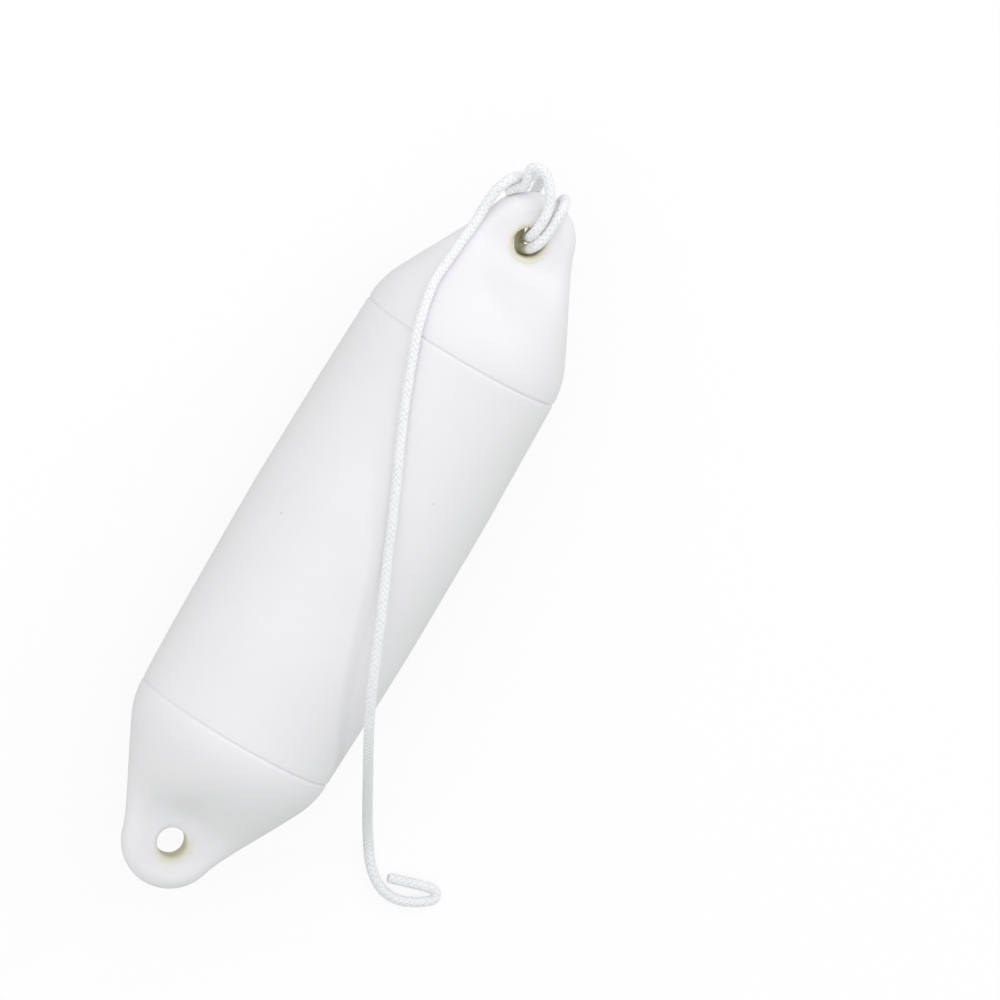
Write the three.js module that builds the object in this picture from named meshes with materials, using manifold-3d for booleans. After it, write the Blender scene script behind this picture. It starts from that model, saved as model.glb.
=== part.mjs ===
// A boat fender: an air-filled moulding of white vinyl with a flat eye lug at each end, an inflation
// valve set into the back of one end cap, and a braided rope tied through the eye at that end.
// Millimetres, +Z up. The fender lies on a level surface with its long axis along X and the roped end
// towards +X. The origin is on that surface, in the middle of the small flat on which the soft belly
// rests.
import * as THREE from "three";
import { mergeVertices } from "three/addons/utils/BufferGeometryUtils.js";
import Module from "manifold-3d";

const wasm = await Module();
wasm.setup();

// Driving dimensions of the moulding
const overallLength = 450;
const barrelLength = 250; // between the two grooves round the moulding
const grooveDiameter = 120; // outside diameter where the barrel meets an end cap
const bellySwell = 2.5; // how far the inflated barrel stands out at its middle, on the radius
const restFlatDepth = 0.5; // how deep the belly flattens where it rests
const grooveWidth = 2.4;
const grooveDepth = 0.9;
const lugRadius = 28; // the round end of a lug, seen from above
const lugThickness = 18;
const eyeDiameter = 17;
const eyeRimRadius = 3;
const planShoulderShare = 0.695; // radius of a cap's shoulder from above, as a share of the cap's length
const planFlankPast = 26.5; // how far the straight flank, drawn on, passes the middle of the eye
const planWaistRadius = 80; // hollow between the flank and the round end of the lug
const sideShoulderShare = 0.64; // the same shoulder seen from the side
const sideFlankFoot = 16; // from the middle of the eye back to where that view's flank would meet the lug
const sideWaistRadius = 10;

// Driving dimensions of the valve
const valveLean = THREE.MathUtils.degToRad(40.6); // from upright, square to the cap's shoulder
const bushFlangeDiameter = 16;
const bushFlangeThickness = 2.2;
const bushShankDiameter = 11;
const bushShankLength = 12;
const bushBoreDiameter = 6;
const screwHeadDiameter = 10.4;
const screwHeadThickness = 2.4;
const screwHeadSunk = 1; // below the skin
const screwShankLength = 10;
const slotWidth = 1.6;
const slotDepth = 1.3;
const sealDiameter = 9.6;
const sealThickness = 1;
const fitGap = 0.3; // between pieces that seat on or in each other

// Driving dimensions of the rope
const ropeDiameter = 6;
const knotLength = 290; // of rope in the turns round the lug and the crossing over the standing part
const curlLength = 78; // of rope in the last bend before the cut end

// Sizes that follow from them
const grooveRadius = grooveDiameter / 2;
const halfBarrel = barrelLength / 2;
const lugHalf = lugThickness / 2;
const eyeX = overallLength / 2 - lugRadius;
const capLength = eyeX - halfBarrel;
const planShoulderRadius = planShoulderShare * capLength;
const sideShoulderRadius = sideShoulderShare * capLength;
const axisHeight = grooveRadius + bellySwell - restFlatDepth;
const eyeRadius = eyeDiameter / 2;

// Fineness of the moulding's skin
const quarterSteps = 14;
const barrelSteps = 8;
const shoulderSteps = 6;
const flankSteps = 14;
const roundEndSteps = 11;

const { lerp, smoothstep } = THREE.MathUtils;
const vec = (x, y) => new THREE.Vector2(x, y);
const spread = (a, b, steps) => Array.from({ length: steps + 1 }, (_, i) => lerp(a, b, i / steps));

// A geometry's triangles as a solid that can be joined and cut.
function solidOf(geometry) {
  const bare = geometry.clone();
  bare.deleteAttribute("normal");
  bare.deleteAttribute("uv");
  const merged = mergeVertices(bare, 1e-4);
  const triVerts = [];
  for (let i = 0; i < merged.index.count; i += 3) {
    const [a, b, c] = [0, 1, 2].map((k) => merged.index.getX(i + k));
    if (a !== b && b !== c && a !== c) triVerts.push(a, b, c);
  }
  const vertProperties = merged.getAttribute("position").array;
  const mesh = new wasm.Mesh({ numProp: 3, vertProperties, triVerts: new Uint32Array(triVerts) });
  return new wasm.Manifold(mesh);
}

// A solid as a flat-shaded geometry.
function geometryOf(solid) {
  const mesh = solid.getMesh();
  const geometry = new THREE.BufferGeometry();
  geometry.setAttribute("position", new THREE.BufferAttribute(new Float32Array(mesh.vertProperties), 3));
  geometry.setIndex(new THREE.BufferAttribute(new Uint32Array(mesh.triVerts), 1));
  const flat = geometry.toNonIndexed();
  flat.computeVertexNormals();
  return flat;
}

// A solid turned about Z, from [radius, height] corners. They run up the outside, and end where they start.
function turned(corners, segments = 32) {
  return new THREE.LatheGeometry(corners.map(([r, z]) => vec(r, z)), segments).rotateX(Math.PI / 2);
}

// The end cap's outline as a height above the axis: a shoulder arc that leaves the barrel level, then a
// straight flank that passes a given point at a given distance. Both views of the cap start this way.
function shoulder(radius, point, distance) {
  const centre = vec(halfBarrel, grooveRadius - radius);
  const toPoint = point.clone().sub(centre);
  const angle = Math.asin((radius - distance) / toPoint.length()) - Math.atan2(toPoint.y, toPoint.x);
  const end = vec(centre.x + radius * Math.sin(angle), centre.y + radius * Math.cos(angle));
  return {
    angle,
    end,
    arc: (x) => centre.y + Math.sqrt(radius ** 2 - (x - centre.x) ** 2),
    flank: (x) => end.y - (x - end.x) * Math.tan(angle),
  };
}

const plan = shoulder(planShoulderRadius, vec(eyeX, 0), planFlankPast);
const side = shoulder(sideShoulderRadius, vec(eyeX - sideFlankFoot, lugHalf), 0);

// From above, the flank runs through a hollow waist into the round end of the lug.
function planWaist() {
  const along = vec(Math.cos(plan.angle), -Math.sin(plan.angle));
  const outward = vec(Math.sin(plan.angle), Math.cos(plan.angle));
  const eye = vec(eyeX, 0);
  const toEye = eye.clone().sub(plan.end);
  const across = planWaistRadius - toEye.dot(outward);
  const back = Math.sqrt((lugRadius + planWaistRadius) ** 2 - across ** 2);
  const start = plan.end.clone().addScaledVector(along, toEye.dot(along) - back);
  const centre = start.clone().addScaledVector(outward, planWaistRadius);
  const end = eye.clone().lerp(centre, lugRadius / (lugRadius + planWaistRadius));
  return { start, centre, end };
}

const waist = planWaist();

function planHalfWidth(x) {
  if (x < plan.end.x) return plan.arc(x);
  if (x < waist.start.x) return plan.flank(x);
  return waist.centre.y - Math.sqrt(planWaistRadius ** 2 - (x - waist.centre.x) ** 2);
}

// From the side, the flank runs through a hollow into the level face of the lug.
const hollowLength = sideWaistRadius * Math.tan(side.angle / 2);
const hollowStartX = eyeX - sideFlankFoot - hollowLength * Math.cos(side.angle);
const lugFaceX = eyeX - sideFlankFoot + hollowLength;

function sideHalfHeight(x) {
  if (x < side.end.x) return side.arc(x);
  if (x < hollowStartX) return side.flank(x);
  if (x < lugFaceX) return lugHalf + sideWaistRadius - Math.sqrt(sideWaistRadius ** 2 - (x - lugFaceX) ** 2);
  return lugHalf;
}

// One section of the moulding: it runs from a point on the axis out to a point on the outline, on both
// sides. Round on the barrel, it turns into a flat bar with round edges on the way to the lug.
function section(axisX, edge, halfHeight) {
  return { axisX, edge, halfHeight, flatness: smoothstep(axisX, halfBarrel, lugFaceX) };
}

// The sections from the middle of the barrel to one tip. They lie square to the axis up to the flank,
// lean over along it, and fan out round the end of the lug.
function halfSections() {
  const barrelEnd = halfBarrel - grooveWidth / 2;
  const barrel = spread(0, barrelEnd, barrelSteps).map((x) => {
    const radius = grooveRadius + bellySwell * (1 - (x / halfBarrel) ** 2);
    return section(x, vec(x, radius), radius);
  });
  const grooveFloor = grooveRadius - grooveDepth;
  const groove = section(halfBarrel, vec(halfBarrel, grooveFloor), grooveFloor);
  const capShoulder = spread(halfBarrel + grooveWidth / 2, plan.end.x, shoulderSteps).map((x) => {
    return section(x, vec(x, planHalfWidth(x)), sideHalfHeight(x));
  });
  const flank = spread(0, 1, flankSteps).slice(1).map((share) => {
    const edgeX = lerp(plan.end.x, waist.end.x, share);
    const axisX = lerp(plan.end.x, eyeX, share);
    return section(axisX, vec(edgeX, planHalfWidth(edgeX)), sideHalfHeight(axisX));
  });
  const startAngle = Math.atan2(waist.end.y, waist.end.x - eyeX);
  const roundEnd = spread(startAngle, 0, roundEndSteps).slice(1).map((angle) => {
    return section(eyeX, vec(eyeX + lugRadius * Math.cos(angle), lugRadius * Math.sin(angle)), lugHalf);
  });
  return [...barrel, groove, ...capShoulder, ...flank, ...roundEnd];
}

// A point on a quarter of a section, from its edge (share 0) to its crown (share 1), as [out, up].
function quarterPoint(reach, half, flatness, share) {
  const turn = (share * Math.PI) / 2;
  const oval = vec(reach * Math.cos(turn), half * Math.sin(turn));
  const edgeLength = (half * Math.PI) / 2;
  const travelled = share * (edgeLength + reach - half);
  const bend = Math.min(travelled / half, Math.PI / 2);
  const flat = Math.max(travelled - edgeLength, 0);
  const bar = vec(Math.max(reach - half + half * Math.cos(bend) - flat, 0), half * Math.sin(bend));
  return oval.lerp(bar, flatness).toArray();
}

// The points all round one section, at the +X end (end = 1) or the -X end (end = -1).
function ring({ axisX, edge, halfHeight, flatness }, end) {
  const run = edge.clone().sub(vec(axisX, 0));
  const reach = run.length();
  run.normalize();
  return spread(0, 4 * quarterSteps, 4 * quarterSteps).slice(0, -1).map((k) => {
    const quarter = Math.floor(k / quarterSteps);
    const share = (k % quarterSteps) / quarterSteps;
    const [out, up] = quarterPoint(reach, halfHeight, flatness, quarter % 2 ? 1 - share : share);
    const left = quarter === 0 || quarter === 3 ? 1 : -1;
    return [end * (axisX + out * run.x), left * out * run.y, quarter < 2 ? up : -up];
  });
}

// The closed skin of the moulding, before the eyes, the rest flat and the valve's seat are cut.
function skin() {
  const half = halfSections();
  const rings = [...half.slice(1).reverse().map((s) => ring(s, -1)), ...half.map((s) => ring(s, 1))];
  const around = 4 * quarterSteps;
  const index = [];
  for (let i = 0; i + 1 < rings.length; i++) {
    for (let k = 0; k < around; k++) {
      const [a, b] = [i * around + k, i * around + ((k + 1) % around)];
      index.push(a, b, a + around, b, b + around, a + around);
    }
  }
  const geometry = new THREE.BufferGeometry();
  geometry.setAttribute("position", new THREE.Float32BufferAttribute(rings.flat(2), 3));
  geometry.setIndex(index);
  return geometry;
}

// What a lug loses for its eye: a round hole whose rims flare out to both faces.
function eyeCutter(x) {
  const flare = (sign) =>
    spread(0, Math.PI / 2, 4).map((turn) => [
      eyeRadius + eyeRimRadius * (1 - Math.cos(turn)),
      sign * (lugHalf - eyeRimRadius * (1 - Math.sin(turn))),
    ]);
  const mouth = eyeRadius + eyeRimRadius;
  const past = lugHalf + 2;
  const corners = [[0, -past], [mouth, -past], ...flare(-1).reverse(), ...flare(1), [mouth, past], [0, past]];
  return turned(corners).translate(x, 0, 0);
}

function restCutter() {
  const depth = 10;
  return new THREE.BoxGeometry(barrelLength, grooveDiameter, depth).translate(0, 0, -axisHeight - depth / 2);
}

// The valve stands square to the skin on the underside of the roped end's cap. Its heights are measured
// from the skin there, outwards.
const valveX = halfBarrel + sideShoulderRadius * Math.sin(valveLean);
const headUnderside = -screwHeadSunk - screwHeadThickness;
const sealTop = headUnderside - fitGap;
const flangeTop = sealTop - sealThickness - fitGap;
const flangeUnderside = flangeTop - bushFlangeThickness;
const shankEnd = flangeUnderside - bushShankLength;

function placeAtValve(object) {
  object.rotation.y = Math.PI - valveLean;
  object.position.set(valveX, 0, axisHeight - sideHalfHeight(valveX));
  object.updateMatrix();
  return object;
}

function valvePocket() {
  const seat = bushFlangeDiameter / 2 + fitGap;
  const bore = bushShankDiameter / 2 + fitGap;
  const top = 6;
  return turned([
    [0, shankEnd - fitGap],
    [bore, shankEnd - fitGap],
    [bore, flangeUnderside - fitGap],
    [seat, flangeUnderside - fitGap],
    [seat, top],
    [0, top],
  ]);
}

function valveBush() {
  const bore = bushBoreDiameter / 2;
  return turned([
    [bore, shankEnd],
    [bushShankDiameter / 2, shankEnd],
    [bushShankDiameter / 2, flangeUnderside],
    [bushFlangeDiameter / 2, flangeUnderside],
    [bushFlangeDiameter / 2, flangeTop],
    [bore, flangeTop],
    [bore, shankEnd],
  ]);
}

function valveSeal() {
  const bore = bushBoreDiameter / 2;
  const bottom = sealTop - sealThickness;
  return turned([
    [bore, bottom],
    [sealDiameter / 2, bottom],
    [sealDiameter / 2, sealTop],
    [bore, sealTop],
    [bore, bottom],
  ]);
}

function valveScrew() {
  const shank = bushBoreDiameter / 2 - fitGap;
  const head = screwHeadDiameter / 2;
  const chamfer = 0.5;
  const end = headUnderside - screwShankLength;
  const blank = turned([
    [0, end],
    [shank - chamfer, end],
    [shank, end + chamfer],
    [shank, headUnderside],
    [head, headUnderside],
    [head, -screwHeadSunk - chamfer],
    [head - chamfer, -screwHeadSunk],
    [0, -screwHeadSunk],
  ]);
  const slot = new THREE.BoxGeometry(screwHeadDiameter + 1, slotWidth, slotDepth * 2);
  slot.translate(0, 0, -screwHeadSunk);
  return geometryOf(solidOf(blank).subtract(solidOf(slot)));
}

// The rope's middle line, chosen by hand in three stretches. The first starts at the short end beside the
// lug's tip, crosses over the standing part, runs twice through the eye and comes back under that crossing:
// [x, y, z] from the middle of the eye.
const ropeAtEye = [
  [18.4, 25.5, 1.5], [23, 21.4, 2.1], [26.5, 18.1, 5], [31.7, 19.4, 7.8], [36.8, 20.9, 9.6],
  [39.7, 18.6, 11.1], [40, 14.6, 12.4], [37.4, 10.6, 13.4], [32.7, 6.6, 13.8], [27.6, 3.3, 14.2],
  [21.9, 1.4, 14.7], [15.7, 0.8, 14.9], [9.1, 0.9, 13.1], [4.7, 1, 8.6], [4.7, 0, -0.1],
  [4.7, -0.6, -5.9], [5.7, -2.2, -11], [11, -4.8, -14.7], [17, -7.1, -15.6], [22.8, -8.3, -14.3],
  [27.5, -8.3, -10.9], [30.2, -7.7, -5.6], [30.9, -7, 0.5], [29.7, -6.7, 6.4], [26.2, -6.8, 10.7],
  [20.6, -7.1, 12.5], [14.4, -7, 12.8], [8.3, -6.2, 12.7], [2.6, -4.7, 11.4], [-0.7, -3.2, 7.2],
  [-1.3, -2.6, 1.1], [-1.8, -2.4, -5.4], [-1.1, -0.5, -11.5], [3.4, 3, -14.2], [9.6, 4.9, -14],
  [15.8, 5.9, -13.7], [21.8, 6.6, -13.5], [27.9, 7.3, -12.8], [33.4, 8.1, -10.5], [37.3, 9.2, -6.6],
  [37.9, 10.9, -3.2], [35.9, 14, -0.8], [32.6, 17.2, -0.2], [30, 21.9, 1], [27.4, 25.9, 4.6],
  [23.3, 29.1, 7], [17.7, 31.1, 7.4], [11.7, 31.8, 6.9], [5.6, 32, 6.5],
];

// Over the fender: [place, degrees, stand-off]. The place along the axis is 1 at a groove and 2 at an
// eye, the degrees run round the axis from the +Y side, and the stand-off is measured from the groove's
// size.
const ropeOverFender = [
  [1.954, 13.9, -26.7], [1.772, 23.7, -21.4], [1.594, 33.9, -13.4], [1.419, 40.5, -5.3],
  [1.263, 46.3, 0.1], [1.033, 52.5, 3.6], [0.893, 58.4, 4], [0.726, 66.2, 5], [0.562, 74.5, 5.4],
  [0.406, 82.4, 5.6], [0.233, 91, 6], [0.065, 99.2, 6.5], [-0.102, 106.9, 9], [-0.27, 114.7, 11.1],
  [-0.425, 122.4, 12.5], [-0.538, 129.5, 12.6], [-0.626, 136.8, 12.4], [-0.702, 145.4, 12.3],
  [-0.776, 155.7, 13], [-0.848, 167.4, 15.8], [-0.922, 179.7, 22], [-0.994, 190.4, 31.5],
  [-1.106, 198.7, 43.1], [-1.21, 204, 54.3], [-1.306, 206.6, 63.3],
];

// On the ground, to the cut end: [x from the plain end's groove, distance out from the fender's side].
const ropeOnGround = [
  [-28.2, 55], [-33.6, 59], [-38.3, 63.6], [-42.4, 69], [-45.3, 75.6], [-45.9, 82.1], [-44.8, 87.8],
  [-42.6, 92.9], [-39.9, 97.6], [-36.9, 101.4], [-34.8, 102.8], [-32.2, 102.2], [-30.6, 99.8],
  [-30.9, 96.6], [-32, 91.9], [-33.9, 85], [-35.7, 78.7], [-37.3, 73.3],
];

function fromPlace(place) {
  const beyondGroove = Math.max(Math.abs(place) - 1, 0);
  return Math.sign(place) * (halfBarrel * Math.min(Math.abs(place), 1) + capLength * beyondGroove);
}

function overFender([place, degrees, standOff]) {
  const angle = THREE.MathUtils.degToRad(degrees);
  const radius = grooveRadius + standOff;
  return [fromPlace(place), radius * Math.cos(angle), axisHeight + radius * Math.sin(angle)];
}

const ropeRoute = [
  ...ropeAtEye.map(([x, y, z]) => [eyeX + x, y, axisHeight + z]),
  ...ropeOverFender.map(overFender),
  ...ropeOnGround.map(([x, out]) => [x - halfBarrel, -grooveRadius - out, ropeDiameter / 2 + fitGap]),
];

const ropeLine = new THREE.CatmullRomCurve3(
  ropeRoute.map((point) => new THREE.Vector3(...point)),
  false,
  "centripetal",
);
ropeLine.arcLengthDivisions = 2000;
const ropeLength = ropeLine.getLength();

// A stretch of the rope between two distances from its short end.
class RopeStretch extends THREE.Curve {
  constructor(from, to) {
    super();
    this.from = from;
    this.to = to;
  }
  getPoint(t, target) {
    return ropeLine.getPointAt(lerp(this.from, this.to, t) / ropeLength, target);
  }
}

function ropePiece(from, to, stepLength) {
  const shape = new THREE.Shape().absarc(0, 0, ropeDiameter / 2, 0, 2 * Math.PI);
  const steps = Math.ceil((to - from) / stepLength);
  const extrudePath = new RopeStretch(from, to);
  return new THREE.ExtrudeGeometry(shape, { steps, extrudePath, curveSegments: 4 });
}

const vinyl = new THREE.MeshStandardMaterial({ color: 0xf1f1f3, roughness: 0.45, metalness: 0 });
const bushPlastic = new THREE.MeshStandardMaterial({ color: 0xe4e4e2, roughness: 0.4, metalness: 0 });
const screwPlastic = new THREE.MeshStandardMaterial({ color: 0xd9dadc, roughness: 0.35, metalness: 0 });
const sealRubber = new THREE.MeshStandardMaterial({ color: 0x1c1c1e, roughness: 0.8, metalness: 0 });
const ropeYarn = new THREE.MeshStandardMaterial({ color: 0xf3f2f7, roughness: 0.85, metalness: 0 });

const fender = new THREE.Group();

function add(name, geometry, material) {
  const mesh = new THREE.Mesh(geometry, material);
  mesh.name = name;
  fender.add(mesh);
  return mesh;
}

const valveSeat = placeAtValve(new THREE.Object3D());
const moulding = solidOf(skin().translate(0, 0, axisHeight))
  .subtract(solidOf(eyeCutter(eyeX).translate(0, 0, axisHeight)))
  .subtract(solidOf(eyeCutter(-eyeX).translate(0, 0, axisHeight)))
  .subtract(solidOf(restCutter().translate(0, 0, axisHeight)))
  .subtract(solidOf(valvePocket().applyMatrix4(valveSeat.matrix)));

add("fender_body", geometryOf(moulding), vinyl);
placeAtValve(add("valve_bush", valveBush(), bushPlastic));
placeAtValve(add("valve_seal", valveSeal(), sealRubber));
placeAtValve(add("valve_screw", valveScrew(), screwPlastic));
add("rope_knot", ropePiece(0, knotLength, 5), ropeYarn);
add("rope_run", ropePiece(knotLength + fitGap, ropeLength - curlLength, 13), ropeYarn);
add("rope_curl", ropePiece(ropeLength - curlLength + fitGap, ropeLength, 5), ropeYarn);

export default fender;
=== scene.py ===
# %% [markdown]
# # A boat fender and its rope
# A fender is a bag of air moulded from thick soft vinyl. It hangs between a boat's side and the quay. This
# one is white, with a flat lug at each end, and a thin braided rope is tied through the eye of one lug. The
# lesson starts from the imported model, which says where each piece is, and then gives every piece the shape
# and the finish that a camera sees from close by.

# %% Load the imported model
import math

import bmesh
import bpy
import numpy as np
from mathutils import Matrix, Vector, noise


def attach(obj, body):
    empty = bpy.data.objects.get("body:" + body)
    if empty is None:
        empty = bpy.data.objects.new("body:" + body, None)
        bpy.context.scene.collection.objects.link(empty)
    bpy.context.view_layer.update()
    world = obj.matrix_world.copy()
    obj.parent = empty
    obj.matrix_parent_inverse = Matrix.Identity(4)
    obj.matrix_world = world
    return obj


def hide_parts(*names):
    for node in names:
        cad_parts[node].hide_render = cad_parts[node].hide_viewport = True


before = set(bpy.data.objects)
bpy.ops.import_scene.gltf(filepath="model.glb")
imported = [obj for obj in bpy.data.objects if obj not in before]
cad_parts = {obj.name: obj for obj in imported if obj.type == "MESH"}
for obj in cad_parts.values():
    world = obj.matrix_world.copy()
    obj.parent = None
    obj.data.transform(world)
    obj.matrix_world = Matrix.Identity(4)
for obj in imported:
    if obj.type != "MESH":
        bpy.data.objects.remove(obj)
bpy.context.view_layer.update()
print("pieces in the packed model:", sorted(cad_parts))

# %% [markdown]
# ## Where the camera stands
# The camera comes first, because every later choice is judged through it. The fender lies on the floor and
# is seen almost from straight above, leaning over a little towards its left side and its roped end. A long
# lens from far away keeps both ends the same size, as a catalogue picture does. The picture is turned so
# that the roped end points up and to the right.

# %% Make the camera
AXIS_HEIGHT = 0.062  # of the fender's axis above the floor
PICTURE_WIDTH = 0.5625  # of what the camera sees at the height of the axis
CAMERA_DISTANCE = 12.0

lean_to_side = math.radians(13)
lean_to_rope = math.radians(5.5)
to_camera = Vector(
    (
        math.sin(lean_to_rope),
        math.cos(lean_to_rope) * math.sin(lean_to_side),
        math.cos(lean_to_rope) * math.cos(lean_to_side),
    )
)
fender_across = Vector((0, math.cos(lean_to_side), -math.sin(lean_to_side)))
fender_along = fender_across.cross(to_camera)
turn = math.radians(59.25)
picture_right = fender_along * math.cos(turn) - fender_across * math.sin(turn)
picture_up = fender_along * math.sin(turn) + fender_across * math.cos(turn)

target = Vector((0, 0, AXIS_HEIGHT)) + picture_right * 0.0855 + picture_up * 0.0229
camera_data = bpy.data.cameras.new("camera")
camera_data.sensor_width = 36
camera_data.lens = 36 * CAMERA_DISTANCE / PICTURE_WIDTH
camera_data.clip_end = 100
camera = bpy.data.objects.new("camera", camera_data)
camera.matrix_world = Matrix.Translation(target + to_camera * CAMERA_DISTANCE) @ Matrix(
    (picture_right, picture_up, to_camera)
).transposed().to_4x4()
bpy.context.scene.collection.objects.link(camera)
bpy.context.scene.camera = camera
print("lens", round(camera_data.lens), "mm, at", [round(v, 2) for v in camera.location])

# %% [markdown]
# ## The rope's middle line
# The rope starts as a short end beside the lug's tip. It crosses over its own standing part, goes twice
# through the eye, comes back up under that crossing, then runs over the fender, falls off its side and ends
# in a small curl on the floor. It could be simulated, but a knot rarely settles as a picture shows it, so
# points are given one by one. They are those of the imported model, apart from the turns in and behind the
# eye, which lie up to about 5 mm aside so that the hole looks filled. A curve through them that spaces its
# steps by the square root of the gaps (a centripetal curve) doesn't overshoot where points lie close
# together.

# %% The points the rope passes through
ROPE_DIAMETER = 0.006
ROPE_POINTS = [
    (0.2154, 0.0255, 0.0635), (0.2200, 0.0214, 0.0641), (0.2235, 0.0181, 0.0670), (0.2287, 0.0194, 0.0698),
    (0.2338, 0.0209, 0.0716), (0.2367, 0.0186, 0.0731), (0.2370, 0.0146, 0.0744), (0.2344, 0.0106, 0.0754),
    (0.2297, 0.0066, 0.0758), (0.2246, 0.0033, 0.0762), (0.2189, 0.0014, 0.0767), (0.2127, 0.0008, 0.0769),
    (0.2061, 0.0009, 0.0751), (0.2015, 0.0008, 0.0706), (0.1994, -0.0004, 0.0622),
    (0.1985, -0.0010, 0.0563), (0.2004, -0.0024, 0.0509), (0.2075, -0.0046, 0.0473),
    (0.2140, -0.0071, 0.0464), (0.2198, -0.0083, 0.0477), (0.2245, -0.0083, 0.0511),
    (0.2272, -0.0077, 0.0564), (0.2279, -0.0070, 0.0625), (0.2267, -0.0067, 0.0684),
    (0.2232, -0.0064, 0.0727), (0.2176, -0.0062, 0.0746), (0.2114, -0.0060, 0.0749),
    (0.2053, -0.0054, 0.0747), (0.1996, -0.0044, 0.0734), (0.1959, -0.0034, 0.0692),
    (0.1934, -0.0029, 0.0632), (0.1918, -0.0021, 0.0572), (0.1911, -0.0009, 0.0511),
    (0.1954, 0.0012, 0.0474), (0.2008, 0.0038, 0.0470), (0.2066, 0.0049, 0.0478),
    (0.2128, 0.0059, 0.0483), (0.2188, 0.0066, 0.0485),
    (0.2249, 0.0073, 0.0492), (0.2304, 0.0081, 0.0515), (0.2343, 0.0092, 0.0554), (0.2349, 0.0109, 0.0588),
    (0.2329, 0.0140, 0.0612), (0.2296, 0.0172, 0.0618), (0.2270, 0.0219, 0.0630), (0.2244, 0.0259, 0.0666),
    (0.2203, 0.0291, 0.0690), (0.2147, 0.0311, 0.0694), (0.2087, 0.0318, 0.0689), (0.2026, 0.0320, 0.0685),
    (0.1937, 0.0323, 0.0700), (0.1806, 0.0353, 0.0775), (0.1678, 0.0387, 0.0880), (0.1552, 0.0416, 0.0975),
    (0.1439, 0.0415, 0.1055), (0.1274, 0.0387, 0.1125), (0.1116, 0.0335, 0.1165), (0.0908, 0.0262, 0.1215),
    (0.0702, 0.0175, 0.1250), (0.0508, 0.0087, 0.1270), (0.0291, -0.0012, 0.1280),
    (0.0081, -0.0106, 0.1276), (-0.0128, -0.0201, 0.1280), (-0.0338, -0.0297, 0.1266),
    (-0.0531, -0.0388, 0.1232), (-0.0672, -0.0462, 0.1180), (-0.0782, -0.0528, 0.1116),
    (-0.0878, -0.0595, 0.1031), (-0.0970, -0.0665, 0.0920), (-0.1060, -0.0740, 0.0785),
    (-0.1152, -0.0820, 0.0624), (-0.1242, -0.0900, 0.0455), (-0.1326, -0.0977, 0.0289),
    (-0.1401, -0.1044, 0.0155), (-0.1470, -0.1102, 0.0068), (-0.1532, -0.1150, 0.0033),
    (-0.1586, -0.1190, 0.0033), (-0.1633, -0.1236, 0.0033), (-0.1674, -0.1290, 0.0033),
    (-0.1703, -0.1356, 0.0033), (-0.1709, -0.1421, 0.0033), (-0.1698, -0.1478, 0.0033),
    (-0.1676, -0.1529, 0.0033), (-0.1649, -0.1576, 0.0033), (-0.1619, -0.1614, 0.0033),
    (-0.1598, -0.1628, 0.0033), (-0.1572, -0.1622, 0.0033), (-0.1556, -0.1598, 0.0033),
    (-0.1559, -0.1566, 0.0033), (-0.1570, -0.1519, 0.0033), (-0.1589, -0.1450, 0.0033),
    (-0.1607, -0.1387, 0.0033), (-0.1623, -0.1333, 0.0033),
]


def curve_through(points, step):
    """Points every step metres along a centripetal Catmull-Rom curve through the given points."""
    given = np.array(points)
    given = np.vstack([2 * given[0] - given[1], given, 2 * given[-1] - given[-2]])
    line = []
    for a, b, c, d in zip(given, given[1:], given[2:], given[3:]):
        knots = np.cumsum([0] + [np.linalg.norm(q - p) ** 0.5 for p, q in ((a, b), (b, c), (c, d))])
        t = np.linspace(knots[1], knots[2], 60, endpoint=False)[:, None]
        low = [
            p + (q - p) * (t - knots[i]) / (knots[i + 1] - knots[i])
            for i, (p, q) in enumerate(((a, b), (b, c), (c, d)))
        ]
        middle = [
            p + (q - p) * (t - knots[i]) / (knots[i + 2] - knots[i])
            for i, (p, q) in enumerate(((low[0], low[1]), (low[1], low[2])))
        ]
        line.append(middle[0] + (middle[1] - middle[0]) * (t - knots[1]) / (knots[2] - knots[1]))
    line = np.vstack(line + [given[-2:-1]])
    travelled = np.concatenate([[0], np.cumsum(np.linalg.norm(np.diff(line, axis=0), axis=1))])
    count = round(travelled[-1] / step)
    places = np.linspace(0, travelled[-1], count + 1)
    return np.stack([np.interp(places, travelled, line[:, k]) for k in range(3)], axis=1)


# %% Draw the line
RING_STEP = 0.00042
rope_line = curve_through(ROPE_POINTS, RING_STEP)
rope_length = np.linalg.norm(np.diff(rope_line, axis=0), axis=1).sum()
print("rope rings:", len(rope_line), "length:", round(rope_length, 4), "m")

# %% [markdown]
# ## The braid
# The rope is a braid of sixteen flat yarns. Eight wind one way round and eight the other way, and each goes
# over two and under two of the others. That gives rows of small V shapes along the rope. The braid could be
# a bump in the material, but then the rope's edge would stay smooth, and in a picture a rope is known by
# its uneven edge. So the yarns are raised in the mesh: each ring of the tube asks how high the surface
# stands at each angle.

# %% How high the braid stands
YARNS_EACH_WAY = 8
BRAID_LAY = 0.0264  # along the rope, for one turn of a yarn
CROWN_SHARE, WAVE_SHARE = 0.62, 0.38  # of a yarn's own round back, and of its going over and under


def braid_height(angle, place):
    """How high the braid stands at an angle round the rope and a place along it, from 0 to 1."""
    one_way = YARNS_EACH_WAY * (angle / (2 * math.pi) + place / BRAID_LAY)
    other_way = YARNS_EACH_WAY * (angle / (2 * math.pi) - place / BRAID_LAY)
    wave = np.cos((one_way + other_way) * math.pi / 2)
    crowns = [np.sqrt(1 - 0.92 * (2 * (way % 1) - 1) ** 2) for way in (one_way, other_way)]
    over = WAVE_SHARE * wave
    return np.maximum(CROWN_SHARE * crowns[0] + over, CROWN_SHARE * crowns[1] - over)


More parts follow.
